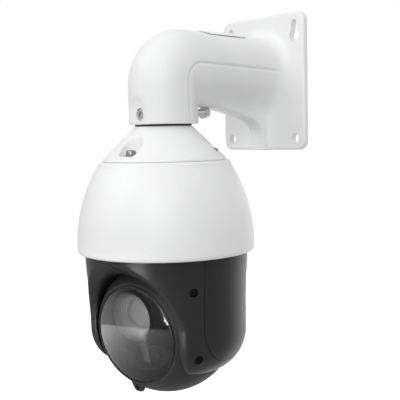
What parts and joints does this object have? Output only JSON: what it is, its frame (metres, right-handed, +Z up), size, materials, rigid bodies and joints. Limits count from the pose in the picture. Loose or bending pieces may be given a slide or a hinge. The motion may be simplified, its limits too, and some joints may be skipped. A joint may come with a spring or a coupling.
{
  "type": "ptz camera",
  "caption": "Pan-tilt dome camera: white dome and arm on a wall plate, black turret, tilting ball with a zoom lens behind a round window.",
  "frame": {"origin": "on the wall plate's back face, midway between the two lower screw holes", "axes": "+Y into the wall, +Z up, the arm reaches out along -Y"},
  "size_m": [0.1644, 0.2213, 0.3586],
  "materials": {
    "white_paint": "satin powder coat",
    "steel": "bright",
    "dark_steel": "blackened",
    "alloy": "as cast",
    "rubber": "matt",
    "inner_plastic": "satin",
    "circuit_board": "solder mask",
    "brass": "machined",
    "gear_plastic": "satin",
    "black_casing": "satin",
    "ball_finish": "fine grain",
    "window_glass": "polished",
    "lens_glass": "coated"
  },
  "bodies": {
    "bracket": {"wall_bracket": "white_paint", "arm_top_cover": "white_paint", "collar_set_screw": "steel", "collar_bolt": "steel", "threaded_neck": "alloy", "neck_seal": "rubber", "cone_cover": "white_paint", "cone_screw_1": "steel", "cone_screw_2": "steel", "cone_screw_3": "steel", "dome_shell": "white_paint", "roof_plate": "alloy", "base_chassis": "alloy", "pan_bearing": "steel", "pan_motor": "inner_plastic", "main_board": "circuit_board", "fan_frame": "inner_plastic", "slip_ring_stator": "inner_plastic"},
    "pan_pinion": {"pan_pinion": "brass"},
    "fan": {"fan_rotor": "inner_plastic"},
    "turret": {"turret_casing_left": "black_casing", "turret_casing_right": "black_casing", "ear_cover_left": "black_casing", "ear_cover_right": "black_casing", "casing_screw_left_1": "dark_steel", "casing_screw_left_2": "dark_steel", "casing_screw_left_3": "dark_steel", "casing_screw_left_4": "dark_steel", "casing_screw_right_1": "dark_steel", "casing_screw_right_2": "dark_steel", "casing_screw_right_3": "dark_steel", "casing_screw_right_4": "dark_steel", "turret_platform": "alloy", "pan_hub": "alloy", "pan_gear": "gear_plastic", "slip_ring_rotor": "brass", "tilt_motor": "inner_plastic", "tilt_motor_bracket": "alloy", "tilt_belt": "rubber", "tilt_bearing_left": "steel", "tilt_bearing_right": "steel"},
    "tilt_drive": {"tilt_drive_pulley": "brass"},
    "ball": {"ball_shell_front": "ball_finish", "ball_shell_rear": "ball_finish", "face_bezel": "ball_finish", "face_window": "window_glass", "lens_barrel": "inner_plastic", "front_lens": "lens_glass", "lens_mount_plate": "alloy", "sensor_board": "circuit_board", "ir_led_board": "circuit_board", "ir_heat_sink": "alloy", "tilt_shaft_left": "steel", "tilt_shaft_right": "steel", "tilt_pulley": "gear_plastic"},
    "zoom_group": {"zoom_lens_group": "inner_plastic"},
    "focus_group": {"focus_lens_group": "inner_plastic"},
    "filter_slide": {"ir_cut_filter": "lens_glass"}
  },
  "joints": [
    {"name": "pan", "type": "hinge", "parent": "bracket", "child": "turret", "pos_m": [0, -0.1391, -0.1004], "axis": [0, 0, 1], "continuous": true},
    {"name": "pan_pinion_spin", "type": "hinge", "parent": "bracket", "child": "pan_pinion", "pos_m": [0, -0.097, -0.1004], "axis": [0, 0, 1], "continuous": true},
    {"name": "fan_spin", "type": "hinge", "parent": "bracket", "child": "fan", "pos_m": [-0.0395, -0.1391, -0.035], "axis": [0, 0, 1], "continuous": true},
    {"name": "tilt", "type": "hinge", "parent": "turret", "child": "ball", "pos_m": [0, -0.1391, -0.1688], "axis": [0.983, 0.1834, 0], "range_deg": [-19.26, 85.74]},
    {"name": "tilt_drive_spin", "type": "hinge", "parent": "turret", "child": "tilt_drive", "pos_m": [0, -0.1391, -0.0784], "axis": [0.983, 0.1834, 0], "range_deg": [-49, 215]},
    {"name": "zoom", "type": "slide", "parent": "ball", "child": "zoom_group", "axis": [0.1829, -0.9803, -0.0743], "range_m": [-0.004, 0.005]},
    {"name": "focus", "type": "slide", "parent": "ball", "child": "focus_group", "axis": [0.1829, -0.9803, -0.0743], "range_m": [-0.003, 0.0025]},
    {"name": "ir_cut", "type": "slide", "parent": "ball", "child": "filter_slide", "axis": [0.983, 0.1834, 0], "range_m": [-0.011, 0]}
  ],
  "couplings": [
    {"joint": "pan_pinion_spin", "follows": "pan", "ratio": -6},
    {"joint": "tilt_drive_spin", "follows": "tilt", "ratio": 2.5}
  ]
}
